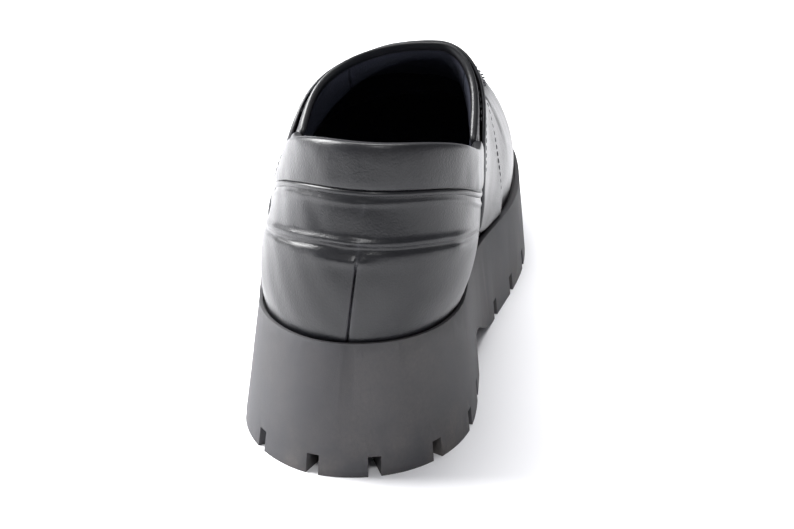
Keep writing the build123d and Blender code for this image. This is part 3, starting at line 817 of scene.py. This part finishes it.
def soleCopy():
    bm = bmesh.new()
    bm.from_mesh(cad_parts["outsole"].data)
    bmesh.ops.remove_doubles(bm, verts=bm.verts, dist=soleLook["merge"])
    bmesh.ops.dissolve_limit(bm, angle_limit=math.radians(soleLook["flat"]), verts=bm.verts, edges=bm.edges)
    piece = builtFrom(bm, "outsoleRubber")
    soft = piece.modifiers.new("softEdges", "BEVEL")
    soft.width = soleLook["edge"] * mm
    soft.segments = 2
    soft.limit_method = "ANGLE"
    soft.angle_limit = math.radians(soleLook["edgeAngle"])
    soft.harden_normals = True
    soft.use_clamp_overlap = True
    piece.data.shade_smooth()
    return applied(piece)


pieces["sole"] = soleCopy()
print("stage: sole", len(pieces["sole"].data.polygons))

# stitches
stitchLook = {"pitch": 2.7, "length": 2.0, "radius": 0.24, "sink": -0.04}


def stitchTree(name, across):
    tree = bpy.data.node_groups.new(name, "GeometryNodeTree")
    face = tree.interface
    face.new_socket("Geometry", in_out="INPUT", socket_type="NodeSocketGeometry")
    for label in ("Pitch", "Length", "Radius"):
        face.new_socket(label, in_out="INPUT", socket_type="NodeSocketFloat")
    face.new_socket("Thread", in_out="INPUT", socket_type="NodeSocketMaterial")
    face.new_socket("Geometry", in_out="OUTPUT", socket_type="NodeSocketGeometry")
    nodes, links = tree.nodes, tree.links
    into, out = nodes.new("NodeGroupInput"), nodes.new("NodeGroupOutput")
    points = nodes.new("GeometryNodeCurveToPoints")
    points.mode = "LENGTH"
    links.new(into.outputs["Geometry"], points.inputs["Curve"])
    links.new(into.outputs["Pitch"], points.inputs["Length"])
    bead = nodes.new("GeometryNodeMeshUVSphere")
    bead.inputs["Segments"].default_value = 8
    bead.inputs["Rings"].default_value = 6
    bead.inputs["Radius"].default_value = 1.0
    half = nodes.new("ShaderNodeMath")
    half.operation = "MULTIPLY"
    half.inputs[1].default_value = 0.5
    links.new(into.outputs["Length"], half.inputs[0])
    size = nodes.new("ShaderNodeCombineXYZ")
    links.new(into.outputs["Radius"], size.inputs["X" if not across else "Z"])
    links.new(into.outputs["Radius"], size.inputs["Y"])
    links.new(half.outputs[0], size.inputs["Z" if not across else "X"])
    place = nodes.new("GeometryNodeInstanceOnPoints")
    links.new(points.outputs["Points"], place.inputs["Points"])
    links.new(bead.outputs["Mesh"], place.inputs["Instance"])
    links.new(points.outputs["Rotation"], place.inputs["Rotation"])
    links.new(size.outputs[0], place.inputs["Scale"])
    real = nodes.new("GeometryNodeRealizeInstances")
    links.new(place.outputs["Instances"], real.inputs["Geometry"])
    smooth = nodes.new("GeometryNodeSetShadeSmooth")
    links.new(real.outputs["Geometry"], smooth.inputs["Geometry"])
    paint = nodes.new("GeometryNodeSetMaterial")
    links.new(smooth.outputs["Geometry"], paint.inputs["Geometry"])
    links.new(into.outputs["Thread"], paint.inputs["Material"])
    links.new(paint.outputs["Geometry"], out.inputs["Geometry"])
    return tree


def curveOf(name, rows):
    curve = bpy.data.curves.new(name, "CURVE")
    curve.dimensions = "3D"
    for row in rows:
        spline = curve.splines.new("POLY")
        spline.points.add(len(row) - 1)
        for point, place in zip(spline.points, row):
            point.co = (*place, 1.0)
    return linked(name, curve)


def setInput(modifier, label, value):
    for item in modifier.node_group.interface.items_tree:
        if item.name == label and item.in_out == "INPUT":
            modifier[item.identifier] = value


def stitched(name, rows, tree, thread, look):
    path = curveOf(name + "Path", rows)
    step = path.modifiers.new("stitches", "NODES")
    step.node_group = tree
    for label, value in (("Pitch", look["pitch"]), ("Length", look["length"]), ("Radius", look["radius"])):
        setInput(step, label, value * mm)
    setInput(step, "Thread", thread)
    path.update_tag()
    graph = bpy.context.evaluated_depsgraph_get()
    mesh = bpy.data.meshes.new_from_object(path.evaluated_get(graph))
    bpy.data.objects.remove(path)
    return linked(name, mesh)


def railOnStrap(inset, lift, rear):
    w = np.linspace(0.06, 0.94, 200)
    share = inset / strapLook["span"]
    gridV = np.full(w.shape, share if rear else 1 - share)
    return toFrame(strapSurface(gridV, w, np.full(w.shape, lift)))


def railOnQuarter(side, inset, lift):
    v = np.linspace(0.05, 0.97, 60)
    return toFrame(quarterSurface(side)(np.full(60, 1 - inset / quarterLook["span"]), v, np.full(60, lift)))


def railOnThroat(inset, lift):
    w = np.linspace(0.08, 0.92, 120)
    side, t, edgeY = throatEdge(w)
    return toFrame(onLast(side, qAt(side, edgeY + inset), t, np.full(w.shape, lift)))


def railOnSlot():
    half = strapLook["slotLength"] / 2
    angle = np.linspace(0, 2 * np.pi, 120)
    inset, lift = strapLook["slotStitchInset"], upper["strapLift"] + strapLook["slotStitchLift"]
    x = slotX + (half + inset) * np.sign(np.cos(angle)) * np.abs(np.cos(angle)) ** 0.7
    y = slotY + inset * np.sign(np.sin(angle)) * np.abs(np.sin(angle)) ** 0.7
    rows = []
    for px, py in zip(x, y):
        side = 1 if px > float(through("crestShift", py)) else -1
        low, high = 0.3, 1.0
        for _ in range(30):
            t = (low + high) / 2
            reachX = onLast(side, float(qAt(side, py)), t, lift)[0]
            if (reachX - px) * side > 0:
                low = t
            else:
                high = t
        rows.append(onLast(side, float(qAt(side, py)), (low + high) / 2, lift))
    return toFrame(np.array(rows))


def seamRail(rise, count=400):
    w = np.linspace(0, 1, count)
    side = np.where(w <= 0.5, 1, -1)
    start = qAt(side, strapFrontTop - 4)
    share = np.where(w <= 0.5, 2 * w, 2 * (1 - w))
    q = start + (1 - start) * share
    return onLast(side, q, np.full(count, upper["seamTurn"] + 0.006), upper["leatherLift"] + rise)


# the raised moccasin seam: a ridge drawn in at every stitch
seamLook = {"pitch": 6.2, "height": 1.55, "width": 1.5, "draw": 0.2, "rise": 0.2, "stations": 700}
seamBase = seamRail(upper["leather"] + seamLook["rise"], seamLook["stations"])
seamUp = seamRail(upper["leather"] + seamLook["rise"] + 1, seamLook["stations"]) - seamBase
seamRun = pathLength(seamBase)
drawn = 1 - seamLook["draw"] * np.clip(np.cos(2 * np.pi * seamRun / seamLook["pitch"]), 0, 1) ** 3
pieces["seam"] = tubeAlong(
    "moccasinSeam", seamBase, seamUp, seamLook["width"] * drawn, seamLook["height"] * drawn, loop=16
)
print("stage: moccasin seam")


# materials
def nodeGroup(name, inputs, outputs):
    tree = bpy.data.node_groups.new(name, "ShaderNodeTree")
    for label, kind, value in inputs:
        socket = tree.interface.new_socket(label, in_out="INPUT", socket_type=kind)
        if value is not None:
            socket.default_value = value
    for label, kind in outputs:
        tree.interface.new_socket(label, in_out="OUTPUT", socket_type=kind)
    return tree, tree.nodes.new("NodeGroupInput"), tree.nodes.new("NodeGroupOutput")


def mathNode(tree, operation, a, b=None, c=None):
    node = tree.nodes.new("ShaderNodeMath")
    node.operation = operation
    for socket, value in zip(node.inputs, (a, b, c)):
        if value is None:
            continue
        if isinstance(value, (int, float)):
            socket.default_value = value
        else:
            tree.links.new(value, socket)
    return node.outputs[0]


def noiseNode(tree, vector, **values):
    node = tree.nodes.new("ShaderNodeTexNoise")
    for label, value in values.items():
        node.inputs[label].default_value = value
    tree.links.new(vector, node.inputs["Vector"])
    return node


def rampNode(tree, value, low, high):
    node = tree.nodes.new("ShaderNodeMapRange")
    node.inputs["From Min"].default_value = low
    node.inputs["From Max"].default_value = high
    tree.links.new(value, node.inputs["Value"])
    return node.outputs[0]


def grainGroup():  # fine pores and slow folds of finished calf
    tree, into, out = nodeGroup(
        "leatherGrain",
        [
            ("Vector", "NodeSocketVector", None),
            ("Pores", "NodeSocketFloat", 1400.0),
            ("Folds", "NodeSocketFloat", 60.0),
            ("Depth", "NodeSocketFloat", 0.5),
        ],
        [("Height", "NodeSocketFloat"), ("Tone", "NodeSocketFloat")],
    )
    cells = tree.nodes.new("ShaderNodeTexVoronoi")
    cells.feature = "SMOOTH_F1"
    tree.links.new(into.outputs["Vector"], cells.inputs["Vector"])
    pores = noiseNode(tree, into.outputs["Vector"])
    folds = noiseNode(tree, into.outputs["Vector"], Detail=5.0, Distortion=0.6)
    for node, label in ((cells, "Pores"), (pores, "Pores"), (folds, "Folds")):
        tree.links.new(into.outputs[label], node.inputs["Scale"])
    small = mathNode(tree, "MULTIPLY_ADD", cells.outputs["Distance"], 0.6, pores.outputs["Fac"])
    fine = mathNode(tree, "MULTIPLY", small, into.outputs["Depth"])
    tree.links.new(mathNode(tree, "MULTIPLY_ADD", folds.outputs["Fac"], 1.6, fine), out.inputs["Height"])
    tree.links.new(folds.outputs["Fac"], out.inputs["Tone"])
    return tree


def wearGroup():  # rubbed edges: the mesh marks its own edges
    tree, into, out = nodeGroup(
        "rubbedEdge",
        [
            ("Vector", "NodeSocketVector", None),
            ("Edge", "NodeSocketFloat", 0.0),
            ("Amount", "NodeSocketFloat", 0.5),
        ],
        [("Mask", "NodeSocketFloat")],
    )
    patches = noiseNode(tree, into.outputs["Vector"], Scale=220.0, Detail=4.0)
    ramp = rampNode(tree, patches.outputs["Fac"], 0.42, 0.62)
    both = mathNode(tree, "MULTIPLY", ramp, into.outputs["Edge"])
    tree.links.new(mathNode(tree, "MULTIPLY", both, into.outputs["Amount"]), out.inputs["Mask"])
    return tree


def dustGroup():  # a film that gathers in patches
    tree, into, out = nodeGroup(
        "dustFilm",
        [
            ("Vector", "NodeSocketVector", None),
            ("Patches", "NodeSocketFloat", 30.0),
            ("Amount", "NodeSocketFloat", 0.3),
        ],
        [("Mask", "NodeSocketFloat")],
    )
    wide = noiseNode(tree, into.outputs["Vector"], Detail=6.0, Roughness=0.62)
    speck = noiseNode(tree, into.outputs["Vector"], Scale=900.0, Detail=2.0)
    tree.links.new(into.outputs["Patches"], wide.inputs["Scale"])
    ramp = rampNode(tree, wide.outputs["Fac"], 0.45, 0.72)
    specks = mathNode(tree, "MULTIPLY_ADD", speck.outputs["Fac"], 1.2, 0.2)
    mix = mathNode(tree, "MULTIPLY", ramp, specks)
    tree.links.new(mathNode(tree, "MULTIPLY", mix, into.outputs["Amount"]), out.inputs["Mask"])
    return tree


grain, wear, dust = grainGroup(), wearGroup(), dustGroup()


def placed(tree, group, values):
    node = tree.nodes.new("ShaderNodeGroup")
    node.node_tree = group
    for label, value in values.items():
        if isinstance(value, (int, float)):
            node.inputs[label].default_value = value
        else:
            tree.links.new(value, node.inputs[label])
    return node


def mixColour(tree, factor, a, b):
    node = tree.nodes.new("ShaderNodeMix")
    node.data_type = "RGBA"
    for socket, value in ((node.inputs[0], factor), (node.inputs[6], a), (node.inputs[7], b)):
        if isinstance(value, (int, float)):
            socket.default_value = value
        elif isinstance(value, tuple):
            socket.default_value = (*value, 1.0)
        else:
            tree.links.new(value, socket)
    return node.outputs[2]


def started(name):
    material = bpy.data.materials.new(name)
    material.use_nodes = True
    tree = material.node_tree
    return material, tree, tree.nodes["Principled BSDF"], tree.nodes.new("ShaderNodeTexCoord").outputs["Object"]


def bumped(tree, shader, height, strength, distance):
    bump = tree.nodes.new("ShaderNodeBump")
    bump.inputs["Strength"].default_value = strength
    bump.inputs["Distance"].default_value = distance
    tree.links.new(height, bump.inputs["Height"])
    tree.links.new(bump.outputs["Normal"], shader.inputs["Normal"])


def leatherMaterial(name, look):
    material, tree, shader, place = started(name)
    edge = tree.nodes.new("ShaderNodeAttribute")
    edge.attribute_name = "edge"
    skin = placed(
        tree,
        grain,
        {"Vector": place, "Pores": look["pores"], "Folds": look["folds"], "Depth": look["depth"]},
    )
    rubbed = placed(tree, wear, {"Vector": place, "Edge": edge.outputs["Fac"], "Amount": look["wear"]})
    film = placed(tree, dust, {"Vector": place, "Patches": 26.0, "Amount": look["dust"]})
    colour = mixColour(tree, skin.outputs["Tone"], look["dark"], look["light"])
    colour = mixColour(tree, rubbed.outputs["Mask"], colour, look["rubbed"])
    colour = mixColour(tree, film.outputs["Mask"], colour, look["film"])
    tree.links.new(colour, shader.inputs["Base Color"])
    rough = mathNode(tree, "MULTIPLY_ADD", skin.outputs["Tone"], 0.12, look["roughness"] - 0.06)
    rough = mathNode(tree, "MULTIPLY_ADD", film.outputs["Mask"], 0.5, rough)
    tree.links.new(rough, shader.inputs["Roughness"])
    bumped(tree, shader, skin.outputs["Height"], look["bump"], 0.0004)
    shader.inputs["Specular IOR Level"].default_value = look["specular"]
    shader.inputs["Coat Weight"].default_value = look["coat"]
    shader.inputs["Coat Roughness"].default_value = 0.32
    return material


blackLeather = {
    "pores": 1500.0,
    "folds": 55.0,
    "depth": 0.5,
    "bump": 0.32,
    "dark": (0.004, 0.0042, 0.0056),
    "light": (0.009, 0.0094, 0.0122),
    "rubbed": (0.05, 0.05, 0.058),
    "film": (0.12, 0.115, 0.11),
    "roughness": 0.33,
    "wear": 0.5,
    "dust": 0.06,
    "specular": 0.42,
    "coat": 0.08,
}
liningLeather = dict(
    blackLeather,
    dark=(0.04, 0.043, 0.062),
    light=(0.07, 0.075, 0.1),
    roughness=0.42,
    coat=0.0,
    wear=0.2,
    folds=40.0,
    dust=0.1,
)
collarLeather = dict(blackLeather, folds=90.0, bump=0.4, roughness=0.34)
materials = {
    "leather": leatherMaterial("blackCalf", blackLeather),
    "collar": leatherMaterial("softCollarCalf", collarLeather),
    "lining": leatherMaterial("navyLining", liningLeather),
    "grip": leatherMaterial("napGrip", dict(liningLeather, roughness=0.8, depth=1.4, bump=0.8)),
}


def rubberMaterial():
    look = {"dark": (0.034, 0.034, 0.038), "light": (0.056, 0.055, 0.06), "dust": (0.16, 0.14, 0.12)}
    material, tree, shader, place = started("soleRubber")
    skin = placed(tree, grain, {"Vector": place, "Pores": 2600.0, "Folds": 34.0, "Depth": 0.5})
    film = placed(tree, dust, {"Vector": place, "Patches": 22.0, "Amount": 0.5})
    parts = tree.nodes.new("ShaderNodeSeparateXYZ")
    tree.links.new(place, parts.inputs[0])
    low = rampNode(tree, parts.outputs["Z"], 0.016, 0.0)
    foot = mathNode(tree, "MULTIPLY", low, film.outputs["Mask"])
    mask = mathNode(tree, "ADD", mathNode(tree, "MULTIPLY", film.outputs["Mask"], 0.35), foot)
    colour = mixColour(tree, skin.outputs["Tone"], look["dark"], look["light"])
    tree.links.new(mixColour(tree, mask, colour, look["dust"]), shader.inputs["Base Color"])
    rough = mathNode(tree, "MULTIPLY_ADD", mask, 0.2, 0.66)
    tree.links.new(rough, shader.inputs["Roughness"])
    bumped(tree, shader, skin.outputs["Height"], 0.25, 0.0003)
    return material


def threadMaterial():
    material, tree, shader, place = started("waxedThread")
    twist = noiseNode(tree, place, Scale=2400.0)
    colour = mixColour(tree, twist.outputs["Fac"], (0.012, 0.012, 0.015), (0.045, 0.045, 0.052))
    tree.links.new(colour, shader.inputs["Base Color"])
    tree.links.new(mathNode(tree, "MULTIPLY_ADD", twist.outputs["Fac"], 0.25, 0.4), shader.inputs["Roughness"])
    return material


def hiddenMaterial(name, colourA, colourB, roughness, scale, metal=0.0):
    material, tree, shader, place = started(name)
    fibre = noiseNode(tree, place, Scale=scale, Detail=6.0)
    tree.links.new(mixColour(tree, fibre.outputs["Fac"], colourA, colourB), shader.inputs["Base Color"])
    rough = mathNode(tree, "MULTIPLY_ADD", fibre.outputs["Fac"], 0.15, roughness)
    tree.links.new(rough, shader.inputs["Roughness"])
    shader.inputs["Metallic"].default_value = metal
    bumped(tree, shader, fibre.outputs["Fac"], 0.3, 0.0003)
    return material


materials["rubber"] = rubberMaterial()
materials["thread"] = threadMaterial()
materials["foam"] = hiddenMaterial("packedFoam", (0.42, 0.42, 0.4), (0.6, 0.59, 0.56), 0.85, 900.0)
materials["board"] = hiddenMaterial("fibreBoard", (0.33, 0.24, 0.15), (0.5, 0.4, 0.28), 0.8, 400.0)
materials["steel"] = hiddenMaterial("shankSteel", (0.5, 0.5, 0.52), (0.62, 0.62, 0.64), 0.32, 300.0, 1.0)
print("stage: materials")

# stitch rows, through the node trees
along = stitchTree("stitchesAlong", False)
across = stitchTree("stitchesAcross", True)
leatherFace = upper["leatherLift"] + upper["leather"] + stitchLook["sink"]
strapFace = upper["strapLift"] + upper["leather"] + stitchLook["sink"]
rows = [
    railOnStrap(strapLook["stitchInset"], strapFace, True),
    railOnStrap(strapLook["stitchInset"], strapFace, False),
    railOnThroat(3.6, leatherFace),
    railOnSlot(),
]
for side in (1, -1):
    rows += [railOnQuarter(side, 2.2, leatherFace), railOnQuarter(side, 4.2, leatherFace)]
pieces["stitches"] = stitched("upperStitches", rows, along, materials["thread"], stitchLook)
seamStitch = {"pitch": seamLook["pitch"], "length": 2 * seamLook["width"] + 0.9, "radius": 0.42}
seamRow = toFrame(seamRail(upper["leather"] + 1.25))
pieces["seamStitches"] = stitched("seamStitches", [seamRow], across, materials["thread"], seamStitch)
print("stage: stitches")

# materials on pieces, what each piece rides on and stands for
finish = {
    "vamp": ("leather", "upper_leather", ["vamp"]),
    "apron": ("leather", "upper_leather", ["apron"]),
    "tongue": ("leather", "upper_leather", ["tongue"]),
    "strap": ("leather", "upper_leather", ["saddle_strap"]),
    "quarter_medial": ("leather", "upper_leather", ["quarter_medial"]),
    "quarter_lateral": ("leather", "upper_leather", ["quarter_lateral"]),
    "collar": ("collar", "upper_leather", ["collar_band", "collar_foam"]),
    "binding": ("leather", "upper_leather", []),
    "welt": ("leather", "upper_leather", []),
    "seam": ("leather", "upper_leather", ["moc_seam"]),
    "quarter_lining_medial": ("lining", "lining_leather", ["quarter_lining_medial"]),
    "quarter_lining_lateral": ("lining", "lining_leather", ["quarter_lining_lateral"]),
    "vamp_lining": ("lining", "lining_leather", ["vamp_lining"]),
    "apron_lining": ("lining", "lining_leather", ["apron_lining"]),
    "sock": ("lining", "lining_leather", ["sock_liner"]),
    "sole": ("rubber", "sole_rubber", ["outsole"]),
    "stitches": ("thread", "upper_leather", []),
    "seamStitches": ("thread", "upper_leather", []),
}
for key, (finishName, slotName, stoodFor) in finish.items():
    piece = pieces[key]
    piece.data.materials.clear()
    piece.data.materials.append(materials[finishName])
    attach(piece, "root")
    if stoodFor:
        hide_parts(*stoodFor)

cadFinish = {
    "heel_grip": "grip",
    "heel_counter": "board",
    "toe_puff": "board",
    "insole_board": "board",
    "bottom_filler": "board",
    "footbed": "foam",
    "heel_pad": "foam",
    "heel_core": "foam",
    "forefoot_core": "foam",
    "shank": "steel",
}
for node, finishName in cadFinish.items():
    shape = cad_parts[node]
    for cell in shape.material_slots:
        cell.material = materials[finishName]
print("stage: pieces placed")

# floor, light and camera
stageLook = {
    "floor": (0.93, 0.93, 0.95),
    "sky": (0.98, 0.99, 1.03),
    "skyStrength": 0.3,
    "eye": (89.2, -752.3, 388.2),   # from the back of the heel, in millimetres
    "aim": (12.0, 40.0, 56.0),
    "roll": 0.8,
    "lens": 114.0,
}
lampLooks = {                   # metres and watts
    "leftWindow": {"place": (-0.95, 0.25, 0.7), "aim": (-0.1, 0.1, 0.0), "size": (0.9, 0.7), "power": 40.0},
    "overhead": {"place": (-0.15, 0.5, 1.8), "aim": (0, 0.05, 0.0), "size": (1.1, 0.9), "power": 34.0},
    "behindCamera": {"place": (0.1, -1.45, 1.5), "aim": (0, -0.1, 0.08), "size": (0.3, 0.3), "power": 11.0},
}


def floorPiece():
    size = 6.0
    mesh = bpy.data.meshes.new("floor")
    corners = [(-size, -size, 0), (size, -size, 0), (size, size, 0), (-size, size, 0)]
    mesh.from_pydata(corners, [], [(0, 1, 2, 3)])
    material = bpy.data.materials.new("palePaper")
    material.use_nodes = True
    shader = material.node_tree.nodes["Principled BSDF"]
    shader.inputs["Base Color"].default_value = (*stageLook["floor"], 1.0)
    shader.inputs["Roughness"].default_value = 0.9
    shader.inputs["Specular IOR Level"].default_value = 0.1
    mesh.materials.append(material)
    linked("floor", mesh)


def softLight(name, place, aim, size, power):
    light = bpy.data.lights.new(name, "AREA")
    light.shape = "RECTANGLE"
    light.size, light.size_y = size
    light.energy = power
    lamp = linked(name, light)
    lamp.location = place
    lamp.rotation_euler = (Vector(aim) - Vector(place)).to_track_quat("-Z", "Y").to_euler()


floorPiece()
world = bpy.data.worlds.new("studio")
bpy.context.scene.world = world
world.use_nodes = True
world.node_tree.nodes["Background"].inputs["Color"].default_value = (*stageLook["sky"], 1.0)
world.node_tree.nodes["Background"].inputs["Strength"].default_value = stageLook["skyStrength"]
for name, lampLook in lampLooks.items():
    softLight(name, **lampLook)

camera = bpy.data.cameras.new("camera")
camera.sensor_width = 36.0
camera.lens = stageLook["lens"]
view = linked("camera", camera)
bpy.context.scene.camera = view
view.location = toFrame(np.array(stageLook["eye"]))
aim = Vector(toFrame(np.array(stageLook["aim"])))
turn = (aim - view.location).to_track_quat("-Z", "Y") @ Quaternion((0, 0, 1), math.radians(stageLook["roll"]))
view.rotation_euler = turn.to_euler()
bpy.context.scene.view_settings.view_transform = "Standard"
print("stage: floor, light and camera")
